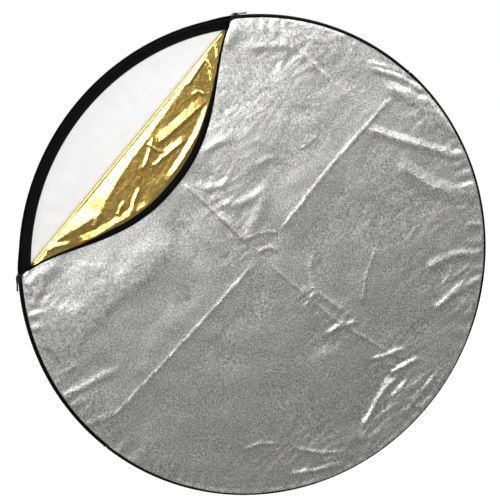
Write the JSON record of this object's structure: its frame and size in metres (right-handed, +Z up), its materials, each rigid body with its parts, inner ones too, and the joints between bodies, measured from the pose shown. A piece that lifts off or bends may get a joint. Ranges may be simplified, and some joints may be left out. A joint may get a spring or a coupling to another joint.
{
  "type": "collapsible reflector disc",
  "caption": "Round collapsible photographic reflector: a diffuser on a sprung hoop inside a zipped cover, silver outside and gold inside, with one corner unzipped and folded back.",
  "frame": {"origin": "centre of the disc, midway through the hoop's width", "axes": "disc upright in the XZ plane; +Y out of its back, so the silver face looks along -Y; +Z up, with the folded corner at the upper left seen from the front"},
  "size_m": [1.1052, 0.0212, 1.1043],
  "materials": {
    "silver_foil_cloth": "silver foil laminated to woven nylon, finely grained",
    "gold_foil_cloth": "gold foil laminated to woven nylon, crumpled",
    "white_cloth": "matt white coated nylon",
    "black_cloth": "matt black coated nylon",
    "diffuser_cloth": "translucent white nylon",
    "casing_tape": "black woven polyester tape",
    "binding_tape": "black woven polyester binding",
    "facing_tape": "black woven polyester tape",
    "zip_tape": "black woven zip tape",
    "nylon_coil": "black nylon monofilament coil",
    "spring_steel": "blued spring steel",
    "sleeve_steel": "zinc-plated steel",
    "rivet_metal": "bright aluminium",
    "stop_metal": "black enamelled brass",
    "slider_metal": "black enamelled zinc casting, worn at the edges",
    "tab_metal": "black enamelled zinc casting, worn at the edges"
  },
  "bodies": {
    "root": {"back_ply_black": "black_cloth", "back_ply_white": "white_cloth", "back_zip_coil": "nylon_coil", "back_zip_facing": "facing_tape", "back_zip_tape": "zip_tape", "diffuser_fabric": "diffuser_cloth", "edge_binding": "binding_tape", "front_ply_gold": "gold_foil_cloth", "front_ply_silver": "silver_foil_cloth", "hoop_band": "spring_steel", "hoop_casing": "casing_tape", "hoop_splice_rivets": "rivet_metal", "hoop_splice_sleeve": "sleeve_steel", "left_front_zip_coil": "nylon_coil", "left_front_zip_facing": "facing_tape", "left_front_zip_tape": "zip_tape", "left_zip_end_stop": "stop_metal", "top_front_zip_coil": "nylon_coil", "top_front_zip_facing": "facing_tape", "top_front_zip_tape": "zip_tape", "top_zip_end_stop": "stop_metal"},
    "corner": {"corner_ply_gold": "gold_foil_cloth", "corner_ply_silver": "silver_foil_cloth", "corner_zip_coil": "nylon_coil", "corner_zip_facing": "facing_tape", "corner_zip_tape": "zip_tape"},
    "left_slider": {"left_slider_body": "slider_metal", "left_slider_crown": "slider_metal"},
    "top_slider": {"top_slider_body": "slider_metal", "top_slider_crown": "slider_metal"},
    "left_tab": {"left_pull_tab": "tab_metal"},
    "top_tab": {"top_pull_tab": "tab_metal"}
  },
  "joints": [
    {"name": "corner_fold", "type": "hinge", "parent": "root", "child": "corner", "pos_m": [-0.30219, -0.0072, 0.25901], "axis": [-0.6508, 0, -0.7593], "range_deg": [0, 180]},
    {"name": "left_slider_travel", "type": "hinge", "parent": "root", "child": "left_slider", "pos_m": [0, 0, 0], "axis": [0, 1, 0], "range_deg": [0, 40]},
    {"name": "top_slider_travel", "type": "hinge", "parent": "root", "child": "top_slider", "pos_m": [0, 0, 0], "axis": [0, -1, 0], "range_deg": [0, 40]},
    {"name": "left_tab_swing", "type": "hinge", "parent": "left_slider", "child": "left_tab", "pos_m": [-0.55211, -0.00157, -0.02604], "axis": [-0.3416, 0.9397, -0.0161], "range_deg": [-2.7, 175]},
    {"name": "top_tab_swing", "type": "hinge", "parent": "top_slider", "child": "top_tab", "pos_m": [-0.05874, -0.00157, 0.54959], "axis": [0.0363, -0.9397, -0.3401], "range_deg": [0, 175]}
  ]
}
